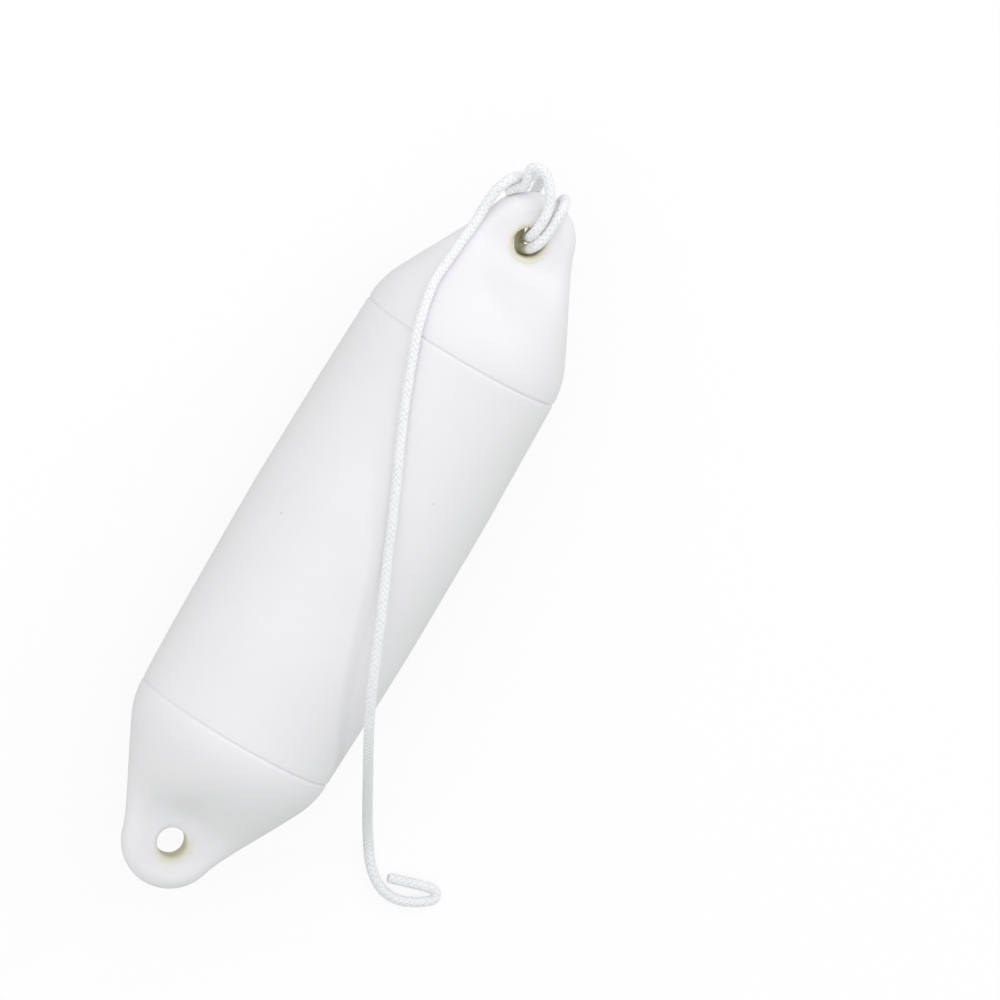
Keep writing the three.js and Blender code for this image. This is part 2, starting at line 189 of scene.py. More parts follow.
trial = braid_height(np.linspace(0, 2 * math.pi, 400), np.zeros(400))
print("braid height round one ring:", round(trial.min(), 2), "to", round(trial.max(), 2))

# %% Two helpers: directions along a line, and a mesh
def frames_along(line):
    """Two directions square to the line at each of its points, turned as little as possible along it."""
    ahead = np.gradient(line, axis=0)
    ahead /= np.linalg.norm(ahead, axis=1)[:, None]
    side = np.cross(ahead[0], [0.0, 0.0, 1.0])
    sides = []
    for direction in ahead:
        side = side - direction * side.dot(direction)
        side /= np.linalg.norm(side)
        sides.append(side.copy())
    sides = np.array(sides)
    return sides, np.cross(ahead, sides)


def mesh_object(name, vertices, faces, body="root"):
    """A smooth-shaded piece from points and faces, riding on the fender."""
    mesh = bpy.data.meshes.new(name)
    mesh.from_pydata(np.asarray(vertices).tolist(), [], faces)
    mesh.validate()
    mesh.shade_smooth()
    piece = bpy.data.objects.new(name, mesh)
    bpy.context.scene.collection.objects.link(piece)
    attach(piece, body)
    return piece


# %% Raise the yarns round each ring
YARN_RELIEF = 0.00045
RING_POINTS = 44
SEALED_LENGTH, SEALED_HEIGHT, CUT_ROUNDING = 0.0016, 0.45, 0.0008  # of the heat-sealed ends
place = np.arange(len(rope_line)) * RING_STEP
angle = np.arange(RING_POINTS) * 2 * math.pi / RING_POINTS
height = braid_height(angle[None, :], place[:, None])
from_end = np.minimum(place, place[-1] - place)
sealed = np.clip(1 - from_end / SEALED_LENGTH, 0, 1)[:, None]
height = height * (1 - sealed) + SEALED_HEIGHT * sealed
radius = ROPE_DIAMETER / 2 - YARN_RELIEF + YARN_RELIEF * height
radius *= 1 - 0.16 * np.clip(1 - from_end / CUT_ROUNDING, 0, 1)[:, None] ** 2
sides, ups = frames_along(rope_line)
rings = rope_line[:, None, :] + radius[:, :, None] * (
    np.cos(angle)[None, :, None] * sides[:, None, :] + np.sin(angle)[None, :, None] * ups[:, None, :]
)
print("rings of", RING_POINTS, "points:", rings.shape[0])

# %% Make the rope and say how long it is
def tube_faces(ring_count, around):
    """Four-sided faces between rings, and one face over each end."""
    here = np.arange(ring_count - 1)[:, None] * around + np.arange(around)[None, :]
    next_round = np.arange(ring_count - 1)[:, None] * around + (np.arange(around)[None, :] + 1) % around
    sides_of_tube = np.stack([here, next_round, next_round + around, here + around], axis=-1)
    first = list(range(around))[::-1]
    last = list(range((ring_count - 1) * around, ring_count * around))
    return sides_of_tube.reshape(-1, 4).tolist() + [first, last]


rope = mesh_object("rope", rings.reshape(-1, 3), tube_faces(len(rings), RING_POINTS))
along_rope = rope.data.uv_layers.new(name="along_rope")
corner_vertex = np.empty(len(rope.data.loops), int)
rope.data.loops.foreach_get("vertex_index", corner_vertex)
turns = (corner_vertex % RING_POINTS) / RING_POINTS
turns_wrapped = turns.copy()
for face in rope.data.polygons:
    if face.loop_total == 4:
        corners = slice(face.loop_start, face.loop_start + 4)
        if turns[corners].max() - turns[corners].min() > 0.5:
            turns_wrapped[corners] = np.where(turns[corners] < 0.5, turns[corners] + 1, turns[corners])
lays = (corner_vertex // RING_POINTS) * RING_STEP / BRAID_LAY
along_rope.data.foreach_set("uv", np.stack([turns_wrapped, lays], axis=1).ravel().astype(np.float32))

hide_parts("rope_knot", "rope_run", "rope_curl")
print("rope:", len(rope.data.polygons), "faces")

# %% [markdown]
# ## The moulding's outline
# The fender is a round barrel with a cap at each end, and each cap flattens into a lug. Seen from above, a
# cap's outline is a round shoulder, a straight flank, a slight hollow and the round end of the lug. Seen
# from the side it falls much steeper, to the lug's flat face. It could be sculpted, but two drawn outlines
# and a rule for what lies between them are exact and easy to change, as for a boat's hull.

# %% Sizes of the moulding
OVERALL_LENGTH, BARREL_LENGTH, GROOVE_RADIUS = 0.450, 0.250, 0.060
BELLY_SWELL = 0.0025
GROOVE_HALF_WIDTH, GROOVE_DEPTH = 0.0014, 0.0009
LUG_RADIUS, LUG_HALF = 0.028, 0.009
EYE_RADIUS, EYE_RIM_RADIUS = 0.0085, 0.003
WAIST_RADIUS, HOLLOW_RADIUS = 0.080, 0.018
HALF_BARREL = BARREL_LENGTH / 2
EYE_X = OVERALL_LENGTH / 2 - LUG_RADIUS
CAP_LENGTH = EYE_X - HALF_BARREL
CORNER_X = EYE_X - 0.016  # where the flank would meet the lug's face if there were no hollow


class Shoulder:
    """A cap's outline: an arc that leaves the barrel level, then a flank past a point at a distance."""

    def __init__(self, radius, point, distance):
        self.radius = radius
        self.centre = np.array([HALF_BARREL, GROOVE_RADIUS - radius])
        to_point = np.array(point) - self.centre
        lead = math.atan2(to_point[1], to_point[0])
        self.angle = math.asin((radius - distance) / np.hypot(*to_point)) - lead
        self.along = np.array([math.cos(self.angle), -math.sin(self.angle)])
        self.outward = np.array([math.sin(self.angle), math.cos(self.angle)])
        self.end = self.centre + radius * self.outward

    def arc(self, x):
        return self.centre[1] + math.sqrt(self.radius**2 - (x - self.centre[0]) ** 2)

    def flank(self, x):
        return self.end[1] - (x - self.end[0]) * math.tan(self.angle)


from_above = Shoulder(0.695 * CAP_LENGTH, (EYE_X, 0), 0.0265)
from_side = Shoulder(0.64 * CAP_LENGTH, (CORNER_X, LUG_HALF), 0)
print("flank angles:", [round(math.degrees(s.angle), 1) for s in (from_above, from_side)])

# %% The hollow between flank and lug, in both views
eye = np.array([EYE_X, 0])
to_eye = eye - from_above.end
back = math.sqrt((LUG_RADIUS + WAIST_RADIUS) ** 2 - (WAIST_RADIUS - to_eye @ from_above.outward) ** 2)
waist_start = from_above.end + from_above.along * (to_eye @ from_above.along - back)
waist_centre = waist_start + from_above.outward * WAIST_RADIUS
waist_end = eye + (waist_centre - eye) * LUG_RADIUS / (LUG_RADIUS + WAIST_RADIUS)

hollow_length = HOLLOW_RADIUS * math.tan(from_side.angle / 2)
hollow_start_x = CORNER_X - hollow_length * math.cos(from_side.angle)
lug_face_x = CORNER_X + hollow_length


def groove(x):
    """How deep the skin is pressed in at the groove between barrel and cap."""
    away = abs(x - HALF_BARREL) / GROOVE_HALF_WIDTH
    return GROOVE_DEPTH * (0.5 + 0.5 * math.cos(math.pi * away)) if away < 1 else 0.0


def barrel_radius(x):
    return GROOVE_RADIUS + BELLY_SWELL * (1 - (x / HALF_BARREL) ** 2) - groove(x)


def half_width(x):
    if x < HALF_BARREL:
        return barrel_radius(x)
    if x < from_above.end[0]:
        return from_above.arc(x) - groove(x)
    if x < waist_start[0]:
        return from_above.flank(x)
    return waist_centre[1] - math.sqrt(WAIST_RADIUS**2 - (x - waist_centre[0]) ** 2)


def half_height(x):
    if x < HALF_BARREL:
        return barrel_radius(x)
    if x < from_side.end[0]:
        return from_side.arc(x) - groove(x)
    if x < hollow_start_x:
        return from_side.flank(x)
    if x < lug_face_x:
        return LUG_HALF + HOLLOW_RADIUS - math.sqrt(HOLLOW_RADIUS**2 - (x - lug_face_x) ** 2)
    return LUG_HALF


print("half width and height at the cap's middle:", round(half_width(0.16), 4), round(half_height(0.16), 4))

# %% [markdown]
# ## The skin
# Each section runs from a point on the axis out to the drawn outline. On the barrel it is a circle. On the
# way to the lug it turns, little by little, into a flat bar with round edges. The sections stand upright on
# the barrel, lean over along the flank and fan out round the lug's end. A box with a subdivision modifier
# would be quicker, but its curves wouldn't follow the two outlines.

# %% The sections from the middle of the barrel to the tip
QUARTER_STEPS = 46


def section(axis_x, edge, height_here):
    blend = min(max((axis_x - HALF_BARREL) / (lug_face_x - HALF_BARREL), 0), 1)
    return axis_x, np.array(edge), height_here, blend * blend * (3 - 2 * blend)


def half_sections():
    made = []
    near_groove = HALF_BARREL - GROOVE_HALF_WIDTH
    cap_start = HALF_BARREL + GROOVE_HALF_WIDTH
    upright = [
        *np.linspace(0, near_groove, 41)[:-1],
        *np.linspace(near_groove, cap_start, 17)[:-1],
        *np.linspace(cap_start, from_above.end[0], 15),
    ]
    for x in upright:
        made.append(section(x, (x, half_width(x)), half_height(x)))
    for share in np.linspace(0, 1, 47)[1:]:
        edge_x = from_above.end[0] + (waist_end[0] - from_above.end[0]) * share
        axis_x = from_above.end[0] + (EYE_X - from_above.end[0]) * share
        made.append(section(axis_x, (edge_x, half_width(edge_x)), half_height(axis_x)))
    start = math.atan2(waist_end[1], waist_end[0] - EYE_X)
    for a in np.linspace(start, 0, 33)[1:]:
        made.append(section(EYE_X, (EYE_X + LUG_RADIUS * math.cos(a), LUG_RADIUS * math.sin(a)), LUG_HALF))
    return made


def quarter(reach, half, flatness, share):
    """Points of a quarter of a section, from its edge at share 0 to its crown at share 1."""
    turned = share * math.pi / 2
    oval = np.stack([reach * np.cos(turned), half * np.sin(turned)])
    travelled = share * (half * math.pi / 2 + reach - half)
    bend = np.minimum(travelled / half, math.pi / 2)
    flat = np.maximum(travelled - half * math.pi / 2, 0)
    bar = np.stack([np.maximum(reach - half + half * np.cos(bend) - flat, 0), half * np.sin(bend)])
    return oval * (1 - flatness) + bar * flatness


def ring(axis_x, edge, half, flatness, end):
    """All the points round one section, at the roped end (1) or the plain end (-1)."""
    run = edge - [axis_x, 0]
    reach = np.hypot(*run)
    run = run / reach
    share = np.arange(QUARTER_STEPS) / QUARTER_STEPS
    points = []
    for number in range(4):
        out, up = quarter(reach, half, flatness, 1 - share if number % 2 else share)
        left = 1 if number in (0, 3) else -1
        top = 1 if number < 2 else -1
        points.append(np.stack([end * (axis_x + out * run[0]), left * out * run[1], top * up], axis=1))
    return np.vstack(points)


sections = half_sections()
skin = np.array([ring(*s, -1) for s in sections[:0:-1]] + [ring(*s, 1) for s in sections])
print("skin:", skin.shape[0], "rings of", skin.shape[1], "points")

# %% [markdown]
# ## Small unevenness
# Soft vinyl never comes out of its mould quite true. The skin waves by a fraction of a millimetre over a
# few centimetres, which is what makes its sheen wander. The belly is pressed flat where it lies on the
# floor.

# %% Wave the skin a little and rest it on the floor
WAVE_DEPTH = 0.00022
skin = skin.reshape(-1, 3)
waves = np.array([noise.noise(Vector(p) * 22) + 0.5 * noise.noise(Vector(p) * 55) for p in skin])
from_axis = skin * [0, 1, 1]
from_axis /= np.maximum(np.linalg.norm(from_axis, axis=1), 1e-6)[:, None]
on_barrel = np.clip((EYE_X - 0.02 - np.abs(skin[:, 0])) / 0.03, 0, 1)
skin = skin + from_axis * (waves * on_barrel * WAVE_DEPTH)[:, None] + [0, 0, AXIS_HEIGHT]
skin[:, 2] = np.maximum(skin[:, 2], 0.0)
around = 4 * QUARTER_STEPS
here = np.arange(len(skin) // around - 1)[:, None] * around
k = np.arange(around)[None, :]
next_k = (k + 1) % around
skin_faces = np.stack([here + k, here + next_k, here + next_k + around, here + k + around], -1)
body = mesh_object("fender_skin", skin, skin_faces.reshape(-1, 4)[:, ::-1].tolist())
shape = bmesh.new()
shape.from_mesh(body.data)
bmesh.ops.remove_doubles(shape, verts=shape.verts, dist=2e-6)
bmesh.ops.dissolve_degenerate(shape, edges=shape.edges, dist=1e-6)
bmesh.ops.recalc_face_normals(shape, faces=shape.faces)
shape.to_mesh(body.data)
print("the skin is closed:", all(edge.is_manifold for edge in shape.edges))
shape.free()

# %% [markdown]
# ## Eyes and valve seat
# The two eyes are round holes whose rims flare out to both faces. The valve sits in a stepped pocket on the
# underside of the roped end's cap. Both are turned shapes, so one helper makes their cutters from a
# drawn profile. A boolean takes the cutter away from the skin.

# %% A helper for turned shapes
def turned(name, profile, segments=96):
    """A closed turned shape from (radius, height) corners up its outside, from axis to axis or not."""
    rings_here = []
    vertices, faces = [], []
    for r, z in profile:
        if r < 1e-7:
            rings_here.append([len(vertices)])
            vertices.append((0.0, 0.0, z))
        else:
            rings_here.append(list(range(len(vertices), len(vertices) + segments)))
            for i in range(segments):
                a = 2 * math.pi * i / segments
                vertices.append((r * math.cos(a), r * math.sin(a), z))
    closed = list(zip(rings_here, rings_here[1:]))
    if profile[0][0] > 1e-7:
        closed.append((rings_here[-1], rings_here[0]))
    for low, high in closed:
        for i in range(segments):
            j = (i + 1) % segments
            corners = [low[i % len(low)], low[j % len(low)], high[j % len(high)], high[i % len(high)]]
            faces.append(list(dict.fromkeys(corners)))
    return mesh_object(name, vertices, faces)


# %% A helper that cuts
def cut(piece, cutter):
    """Take the cutter away from the piece, and throw the cutter away."""
    boolean = piece.modifiers.new("cut", "BOOLEAN")
    boolean.operation = "DIFFERENCE"
    boolean.solver = "EXACT"
    boolean.object = cutter
    bpy.context.view_layer.update()
    cut_mesh = bpy.data.meshes.new_from_object(piece.evaluated_get(bpy.context.evaluated_depsgraph_get()))
    piece.modifiers.clear()
    piece.data = cut_mesh
    bpy.data.objects.remove(cutter)


# %% Cut the two eyes
def flare(top):
    """The rim's quarter-round, from the bore out to the face."""
    steps = np.linspace(0, math.pi / 2, 15)
    return [
        (
            EYE_RADIUS + EYE_RIM_RADIUS * (1 - math.cos(a)),
            top * (LUG_HALF - EYE_RIM_RADIUS * (1 - math.sin(a))),
        )
        for a in steps
    ]


mouth = EYE_RADIUS + EYE_RIM_RADIUS
past = LUG_HALF + 0.002
eye_profile = [(0, -past), (mouth, -past), *flare(-1)[::-1], *flare(1), (mouth, past), (0, past)]
for end in (1, -1):
    cutter = turned("eye_cutter", eye_profile, 128)
    cutter.matrix_world = Matrix.Translation((end * EYE_X, 0, AXIS_HEIGHT))
    cut(body, cutter)
print("skin with its eyes:", len(body.data.polygons), "faces")

# %% Cut the valve's seat
VALVE_LEAN = math.radians(40.6)
valve_x = HALF_BARREL + from_side.radius * math.sin(VALVE_LEAN)
valve_place = Matrix.Translation((valve_x, 0, AXIS_HEIGHT - half_height(valve_x))) @ Matrix.Rotation(
    math.pi - VALVE_LEAN, 4, "Y"
)
FIT_GAP = 0.0003
SEAT_RADIUS, SEAT_BORE, CUTTER_TOP = 0.0083, 0.0058, 0.006
BUSH_BORE, BUSH_RADIUS, FLANGE_RADIUS, FLANGE_THICKNESS = 0.0030, 0.0055, 0.0080, 0.0022
SEAL_RADIUS, SEAL_THICKNESS = 0.0048, 0.001
SCREW_RADIUS, SCREW_LENGTH, HEAD_RADIUS = 0.0027, 0.010, 0.0052
HEAD_TOP, HEAD_UNDERSIDE = -0.001, -0.0034
SEAL_TOP = HEAD_UNDERSIDE - FIT_GAP
FLANGE_TOP = SEAL_TOP - SEAL_THICKNESS - FIT_GAP
FLANGE_UNDERSIDE = FLANGE_TOP - FLANGE_THICKNESS
SHANK_END = FLANGE_UNDERSIDE - 0.012
seat = turned(
    "valve_seat_cutter",
    [
        (0, SHANK_END - FIT_GAP),
        (SEAT_BORE, SHANK_END - FIT_GAP),
        (SEAT_BORE, FLANGE_UNDERSIDE - FIT_GAP),
        (SEAT_RADIUS, FLANGE_UNDERSIDE - FIT_GAP),
        (SEAT_RADIUS, CUTTER_TOP),
        (0, CUTTER_TOP),
    ],
)
seat.matrix_world = valve_place
cut(body, seat)
body.data.shade_smooth()
body.data.set_sharp_from_angle(angle=math.radians(38))
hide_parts("fender_body")
shape = bmesh.new()
shape.from_mesh(body.data)
loose_edges = sum(not e.is_manifold for e in shape.edges)
litres = round(shape.calc_volume() * 1000, 3)
print("fender skin:", len(shape.faces), "faces, open edges:", loose_edges, "volume:", litres, "l")
shape.free()

# %% [markdown]
# ## The valve
# Air goes in through a plastic bush whose bore a slotted screw closes on a small rubber seal. All three are
# turned parts. Real ones have broken edges that catch a thin line of light, so each profile has small
# chamfers instead of sharp corners.

# %% Turn the bush, the seal and the screw
def with_chamfers(profile, size):
    """The profile with every corner that is off the axis cut back by a small straight chamfer."""
    made = []
    count = len(profile)
    for i, corner in enumerate(profile):
        at, before, after = (np.array(profile[n % count]) for n in (i, i - 1, i + 1))
        if corner[0] < 1e-7:
            made.append(tuple(corner))
            continue
        for other in (before, after):
            gap = np.linalg.norm(other - at)
            made.append(tuple(at + (other - at) / gap * min(size, gap / 3)))
    return made


bush = turned(
    "valve_bush_piece",
    with_chamfers(
        [
            (BUSH_BORE, SHANK_END),
            (BUSH_RADIUS, SHANK_END),
            (BUSH_RADIUS, FLANGE_UNDERSIDE),
            (FLANGE_RADIUS, FLANGE_UNDERSIDE),
            (FLANGE_RADIUS, FLANGE_TOP),
            (BUSH_BORE, FLANGE_TOP),
        ],
        0.0003,
    ),
)
seal = turned(
    "valve_seal_piece",
    with_chamfers(
        [
            (BUSH_BORE, SEAL_TOP - SEAL_THICKNESS),
            (SEAL_RADIUS, SEAL_TOP - SEAL_THICKNESS),
            (SEAL_RADIUS, SEAL_TOP),
            (BUSH_BORE, SEAL_TOP),
        ],
        0.00025,
    ),
)
screw = turned(
    "valve_screw_piece",
    with_chamfers(
        [
            (0, HEAD_UNDERSIDE - SCREW_LENGTH),
            (SCREW_RADIUS, HEAD_UNDERSIDE - SCREW_LENGTH),
            (SCREW_RADIUS, HEAD_UNDERSIDE),
            (HEAD_RADIUS, HEAD_UNDERSIDE),
            (HEAD_RADIUS, HEAD_TOP),
            (0, HEAD_TOP),
        ],
        0.0004,
    ),
)
SLOT_REACH, SLOT_HALF, SLOT_DEPTH = 0.006, 0.0008, 0.0013
slot_outline = [(x * SLOT_REACH, y * SLOT_HALF) for x, y in ((-1, -1), (1, -1), (1, 1), (-1, 1))]
slot_vertices = [(x, y, HEAD_TOP + z) for z in (-SLOT_DEPTH, SLOT_DEPTH) for x, y in slot_outline]
slot_faces = [(3, 2, 1, 0), (4, 5, 6, 7), (0, 1, 5, 4), (1, 2, 6, 5), (2, 3, 7, 6), (3, 0, 4, 7)]
cut(screw, mesh_object("slot_cutter", slot_vertices, slot_faces))
for piece, node, slot_name in (
    (bush, "valve_bush", "bush_plastic"),
    (seal, "valve_seal", "seal_rubber"),
    (screw, "valve_screw", "screw_plastic"),
):
    piece.matrix_world = valve_place
    piece.data.shade_smooth()
    piece.data.set_sharp_from_angle(angle=math.radians(38))
    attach(piece, "root")
    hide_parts(node)
    print(piece.name, len(piece.data.polygons), "faces")

# %% [markdown]
# ## Materials: a few helpers
# Every finish here is made of Blender's own noise and wave patterns, so it looks the same from any side and
# needs no picture file. A material is a tree of small nodes. Most of them do one of a few things: take a
# pattern, stretch a number, mix two colours. One helper for each of these keeps the finishes short to read.

# %% Start a material and add a node to it
def new_material(name):
    material = bpy.data.materials.new(name)
    material.use_nodes = True
    tree = material.node_tree
    return material, tree, tree.nodes["Principled BSDF"]


def add(tree, kind, **settings):
    """A node with its settings, and its numbered or named inputs given as a dictionary."""
    node = tree.nodes.new(kind)
    inputs = settings.pop("inputs", {})
    for key, value in settings.items():
        setattr(node, key, value)
    for key, value in inputs.items():
        if isinstance(value, bpy.types.NodeSocket):
            tree.links.new(value, node.inputs[key])
        else:
            node.inputs[key].default_value = value
    return node


def wear(piece, material):
    """Give the piece this material alone."""
    piece.data.materials.clear()
    piece.data.materials.append(material)


print("helpers:", [helper.__name__ for helper in (new_material, add, wear)])


# %% Patterns, numbers and colours
def noise_of(tree, where, scale, detail, roughness=0.5):
    """A cloudy pattern from 0 to 1."""
    inputs = {"Vector": where, "Scale": scale, "Detail": detail, "Roughness": roughness}
    return add(tree, "ShaderNodeTexNoise", inputs=inputs).outputs["Fac"]


def calculated(tree, operation, *numbers):
    """The result of a bit of arithmetic."""
    return add(tree, "ShaderNodeMath", operation=operation, inputs=dict(enumerate(numbers))).outputs[0]


def stretched(tree, value, low, high, at_low, at_high, **settings):
    """A number that goes from at_low to at_high while the value goes from low to high."""
    inputs = {"Value": value, "From Min": low, "From Max": high, "To Min": at_low, "To Max": at_high}
    return add(tree, "ShaderNodeMapRange", inputs=inputs, **settings).outputs[0]


def drifting(tree, value, low, high, dark, light):
    """A colour that drifts from dark to light while the value goes from low to high."""
    ramp = add(tree, "ShaderNodeValToRGB", inputs={"Fac": value})
    for stop, position, colour in zip(ramp.color_ramp.elements, (low, high), (dark, light)):
        stop.position = position
        stop.color = (*colour, 1)
    return ramp.outputs["Color"]


def blended(tree, share, first, second):
    """A colour between two others: the second one where the share is 1."""
    colours = {6: first, 7: second}
    colours = {key: c if isinstance(c, bpy.types.NodeSocket) else (*c, 1) for key, c in colours.items()}
    return add(tree, "ShaderNodeMix", data_type="RGBA", inputs={"Factor": share, **colours}).outputs[2]


def roughened(tree, height, strength, depth):
    """Slopes of a surface whose small ups and downs are given by a height."""
    inputs = {"Height": height, "Strength": strength, "Distance": depth}
    return add(tree, "ShaderNodeBump", inputs=inputs).outputs["Normal"]


def out_from_eye(tree, along, across):
    """How far a point lies outward (x) and sideways (y) from the axis of an eye."""
    outward = calculated(tree, "SUBTRACT", along, EYE_X)
    return add(tree, "ShaderNodeCombineXYZ", inputs={"X": outward, "Y": across}).outputs[0]


pattern_helpers = (noise_of, calculated, stretched, drifting, blended, roughened, out_from_eye)
print("helpers:", [helper.__name__ for helper in pattern_helpers])

# %% [markdown]
# ## White vinyl
# The moulding's vinyl is white with a breath of lavender, and its tone drifts a little over a few
# centimetres. Each eye's bore and rim get an olive tint that is painted shade of the bore: all round the
# roped eye, and at the plain eye only on the side towards the bottom of the picture. A few specks of dirt
# lie on the barrel. All of this could be painted on a picture, but patterns that know where a point lies on
# the fender need none.

# %% The vinyl's tone, its painted eye shade and its specks
vinyl, tree, shader = new_material("white_vinyl")
where = add(tree, "ShaderNodeTexCoord").outputs["Object"]
apart = add(tree, "ShaderNodeSeparateXYZ", inputs={"Vector": where})
drift = noise_of(tree, where, 14.0, 4.0, 0.6)
clean = drifting(tree, drift, 0.35, 0.65, (0.850, 0.837, 0.862), (0.872, 0.858, 0.886))

# Painted shade of the eye bores: an olive tint over each bore and rim, with a ragged edge.
from_middle = calculated(tree, "ABSOLUTE", apart.outputs["X"])  # so that both eyes count
out = out_from_eye(tree, from_middle, apart.outputs["Y"])
eye_distance = add(tree, "ShaderNodeVectorMath", operation="LENGTH", inputs={0: out}).outputs["Value"]
frayed = calculated(tree, "MULTIPLY_ADD", noise_of(tree, where, 260.0, 3.0), 0.004, eye_distance)
near_eye = stretched(tree, frayed, 0.0095, 0.0165, 1.0, 0.0, interpolation_type="SMOOTHSTEP")
# The side of the plain eye that takes the painted bore shade, towards the bottom of the picture.
BORE_SHADE_SIDE = (0.64, -0.77, 0.0)
to_bore_shade_side = add(tree, "ShaderNodeVectorMath", operation="DOT_PRODUCT", inputs={0: out, 1: BORE_SHADE_SIDE})
bore_shade_side = stretched(tree, to_bore_shade_side.outputs["Value"], -0.0040, 0.0060, 0.0, 1.0)
roped_end = stretched(tree, apart.outputs["X"], -0.01, 0.01, 0.0, 1.0)
bore_shade = calculated(tree, "MULTIPLY", near_eye, calculated(tree, "MAXIMUM", bore_shade_side, roped_end))
# Mix in the olive colour of the painted bore shade.
with_bore_shade = blended(tree, bore_shade, clean, (0.74, 0.72, 0.54))

specks_at = add(tree, "ShaderNodeTexVoronoi", feature="F1", inputs={"Vector": where, "Scale": 26.0})
speck = stretched(tree, specks_at.outputs["Distance"], 0.010, 0.020, 0.45, 0.0)
tree.links.new(blended(tree, speck, with_bore_shade, (0.30, 0.28, 0.27)), shader.inputs["Base Color"])
print("vinyl tone:", len(tree.nodes), "nodes")

# %% [markdown]
# ## The vinyl's gloss
# Soft vinyl is satin rather than glossy, and finely pebbled, since it copies the blasted wall of its mould.
# Light goes a little way into it, which softens the edges of shadows. The pebbles are far too small to
# model, so they are a bump in the material.

# %% The vinyl's gloss and grain
tree.links.new(stretched(tree, drift, 0.3, 0.7, 0.44, 0.54), shader.inputs["Roughness"])
pebble_inputs = {"Vector": where, "Scale": 900.0, "Smoothness": 0.8}
pebbles = add(tree, "ShaderNodeTexVoronoi", feature="SMOOTH_F1", inputs=pebble_inputs)
grain = calculated(tree, "ADD", pebbles.outputs["Distance"], noise_of(tree, where, 420.0, 5.0, 0.7))
tree.links.new(roughened(tree, grain, 0.30, 0.00012), shader.inputs["Normal"])
shader.inputs["Subsurface Weight"].default_value = 0.12
shader.inputs["Subsurface Radius"].default_value = (1.0, 0.85, 0.7)
shader.inputs["Subsurface Scale"].default_value = 0.002
shader.inputs["IOR"].default_value = 1.5
shader.inputs["Specular IOR Level"].default_value = 0.35
wear(body, vinyl)
print("vinyl:", len(tree.nodes), "nodes")

# %% [markdown]
# ## Rope yarn
# The yarns are white polyester, a little bluer than the vinyl. Each yarn is a bundle of hair-fine threads
# that run along it, and the places where it dives under its neighbours are painted a little grey as painted
# shade, here more, there less. The mesh carries how far along and how far round each point is, so the
# material can draw threads that follow the yarns. Inside the eye the rope is painted a darker olive, as
# painted shade of the bore.

# %% Threads and valleys that follow the yarns
yarn, tree, shader = new_material("white_rope_yarn")
uv = add(tree, "ShaderNodeUVMap", uv_map="along_rope")
parts = add(tree, "ShaderNodeSeparateXYZ", inputs={"Vector": uv.outputs["UV"]})
THREAD_WAVES = 6  # across one yarn
threads, valleys = [], []
for operation in ("ADD", "SUBTRACT"):
    way = calculated(tree, operation, parts.outputs["X"], parts.outputs["Y"])
    for made, waves_in_yarn in ((threads, THREAD_WAVES), (valleys, 1)):
        wave = calculated(tree, "MULTIPLY", way, 2 * math.pi * YARNS_EACH_WAY * waves_in_yarn)
        made.append(calculated(tree, "COSINE", wave))
columns = calculated(tree, "MULTIPLY", parts.outputs["X"], math.pi * YARNS_EACH_WAY)
column = calculated(tree, "COSINE", columns)
which = stretched(tree, column, -0.15, 0.15, 0.0, 1.0)
thread, valley = (
    add(tree, "ShaderNodeMix", data_type="FLOAT", inputs={"Factor": which, 2: b, 3: a}).outputs[0]
    for a, b in (threads, valleys)
)
where = add(tree, "ShaderNodeTexCoord").outputs["Object"]
fuzzy = calculated(tree, "MULTIPLY_ADD", noise_of(tree, where, 1500.0, 4.0, 0.7), 1.5, thread)
tree.links.new(roughened(tree, fuzzy, 0.35, 0.00008), shader.inputs["Normal"])
print("yarn threads:", len(tree.nodes), "nodes")

# %% The yarn's colour, its painted shade and its sheen
YARN_DARK, YARN_LIGHT, YARN_VALLEY_SHADE, YARN_EYE_SHADE = (
    (0.93, 0.93, 0.95),
    (0.955, 0.955, 0.985),
    (0.52, 0.52, 0.58),
    (0.60, 0.55, 0.33),
)
shade = drifting(tree, noise_of(tree, where, 60.0, 3.0), 0.35, 0.6, YARN_DARK, YARN_LIGHT)
# Painted shade: the valleys between yarns are darkened towards grey, more in some places than others.
uneven = stretched(tree, noise_of(tree, where, 620.0, 2.0), 0.3, 0.7, -0.55, 0.35)
depth = stretched(tree, calculated(tree, "ADD", valley, uneven), 0.3, 1.0, 0.0, 0.42)
shaded = blended(tree, depth, shade, YARN_VALLEY_SHADE)

# Painted shade of the bore: rope inside the eye and below the lug's face is painted a darker olive.
apart = add(tree, "ShaderNodeSeparateXYZ", inputs={"Vector": where})
out = out_from_eye(tree, apart.outputs["X"], apart.outputs["Y"])
eye_distance = add(tree, "ShaderNodeVectorMath", operation="LENGTH", inputs={0: out})
in_eye = stretched(tree, eye_distance.outputs["Value"], 0.0085, 0.0120, 0.85, 0.0)
deep = stretched(tree, apart.outputs["Z"], 0.0690, 0.0640, 0.0, 1.0)
with_eye_shade = blended(tree, calculated(tree, "MULTIPLY", in_eye, deep), shaded, YARN_EYE_SHADE)
tree.links.new(with_eye_shade, shader.inputs["Base Color"])
shader.inputs["Subsurface Weight"].default_value = 0.25
shader.inputs["Subsurface Radius"].default_value = (1.0, 0.95, 0.9)
shader.inputs["Subsurface Scale"].default_value = 0.001
shader.inputs["Roughness"].default_value = 0.8
shader.inputs["Sheen Weight"].default_value = 0.6
shader.inputs["Sheen Roughness"].default_value = 0.5
shader.inputs["Specular IOR Level"].default_value = 0.3
wear(rope, yarn)
print("yarn:", len(tree.nodes), "nodes")

# %% [markdown]
# ## Plastic and rubber of the valve
# The bush and the screw are hard white plastics with faint turning marks, and the seal is black rubber. The
# same few nodes make all three: a slow drift of tone, a fine grain and a little unevenness of gloss.

